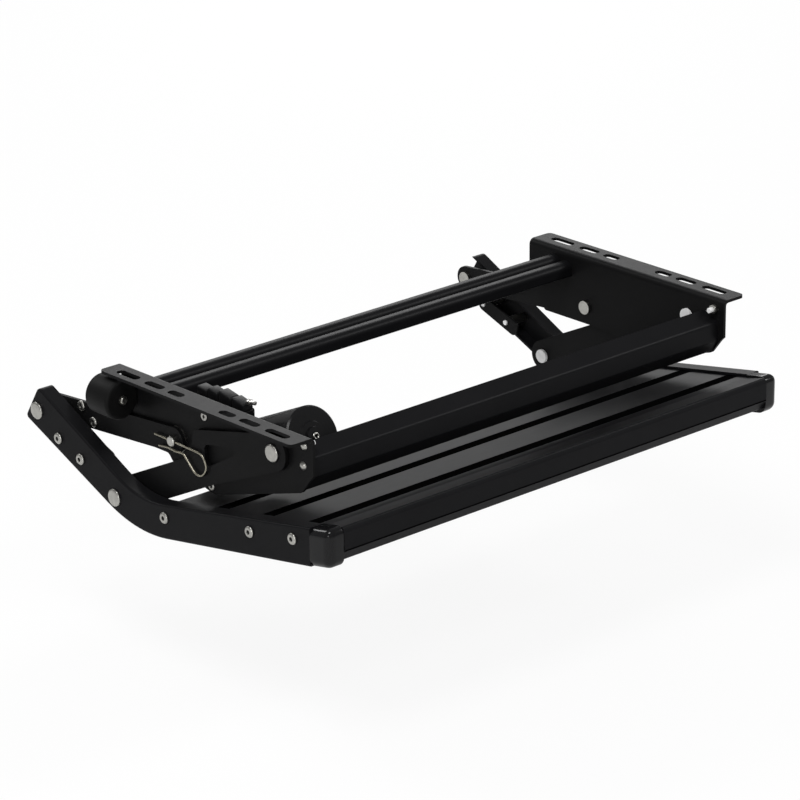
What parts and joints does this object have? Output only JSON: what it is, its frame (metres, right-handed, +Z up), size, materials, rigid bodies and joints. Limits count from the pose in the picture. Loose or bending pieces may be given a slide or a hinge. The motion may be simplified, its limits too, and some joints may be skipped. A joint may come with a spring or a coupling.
{
  "type": "electric entry step",
  "caption": "Black electric entry step for a caravan: two slotted brackets, worm gearmotor, and a four-bar linkage that swings a ribbed tread forward and down.",
  "frame": {"origin": "midway between the two brackets, at the middle of their length, in the plane of the flange tops", "axes": "+X along the step away from the motor, +Y to the rear, -Y to the nose, +Z up"},
  "size_m": [0.602, 0.4359, 0.1459],
  "materials": {
    "black_steel": "satin black powder coat",
    "tread_aluminium": "black anodised extrusion",
    "zinc_steel": "zinc plated",
    "gloss_cap": "gloss black moulding",
    "black_rubber": "black rubber",
    "dark_plastic": "black moulding",
    "grip_insert": "black grip insert",
    "cast_gearbox": "black painted casting",
    "motor_paint": "satin black can",
    "spring_wire": "bright spring wire",
    "terminal_metal": "tinned blades"
  },
  "bodies": {
    "frame": {"left_bracket": "black_steel", "right_bracket": "black_steel", "front_profile": "tread_aluminium", "rear_profile": "tread_aluminium", "arm_pivot_rivets": "zinc_steel", "pivot_washers": "zinc_steel", "right_link_rivet": "zinc_steel", "clevis_pin": "zinc_steel", "spring_clip": "spring_wire", "bracket_screws": "zinc_steel", "bracket_nuts": "zinc_steel", "motor_can": "motor_paint", "motor_bearing_cup": "motor_paint", "motor_flange": "cast_gearbox", "gearbox_housing": "cast_gearbox", "gearbox_cover": "cast_gearbox", "worm_tube_cap": "dark_plastic", "gearbox_cover_screws": "zinc_steel", "connector_block": "dark_plastic", "connector_terminals": "terminal_metal", "rubber_buffer": "black_rubber", "buffer_screw": "zinc_steel"},
    "arms": {"left_main_arm": "black_steel", "right_main_arm": "black_steel"},
    "rear_links": {"left_rear_link": "black_steel", "right_rear_link": "black_steel", "link_cross_bar": "tread_aluminium", "cross_bar_screws": "zinc_steel", "link_eye_pins": "zinc_steel", "drive_hub": "zinc_steel"},
    "tread": {"tread_plate": "tread_aluminium", "tread_grip_strips": "grip_insert", "left_side_channel": "tread_aluminium", "right_side_channel": "tread_aluminium", "left_end_cap": "gloss_cap", "right_end_cap": "gloss_cap", "left_inner_plate": "black_steel", "right_inner_plate": "black_steel", "plate_spacers": "zinc_steel", "plate_screws": "zinc_steel", "tread_screws": "zinc_steel", "rear_channel_stubs": "zinc_steel", "tread_pivot_rivets": "zinc_steel", "tread_pivot_spacers": "zinc_steel"}
  },
  "joints": [
    {"name": "arm_fold", "type": "hinge", "parent": "frame", "child": "arms", "pos_m": [0, -0.086, -0.0265], "axis": [-1, 0, 0], "range_deg": [0, 96.2]},
    {"name": "tread_level", "type": "hinge", "parent": "arms", "child": "tread", "pos_m": [0, 0.119, -0.1235], "axis": [1, 0, 0], "range_deg": [0, 103]},
    {"name": "link_swing", "type": "hinge", "parent": "frame", "child": "rear_links", "pos_m": [0, 0.054, -0.0535], "axis": [-1, 0, 0], "range_deg": [0, 142.9]}
  ],
  "couplings": [
    {"joint": "tread_level", "follows": "arm_fold", "ratio": 1.0693},
    {"joint": "link_swing", "follows": "arm_fold", "ratio": 1.484}
  ]
}
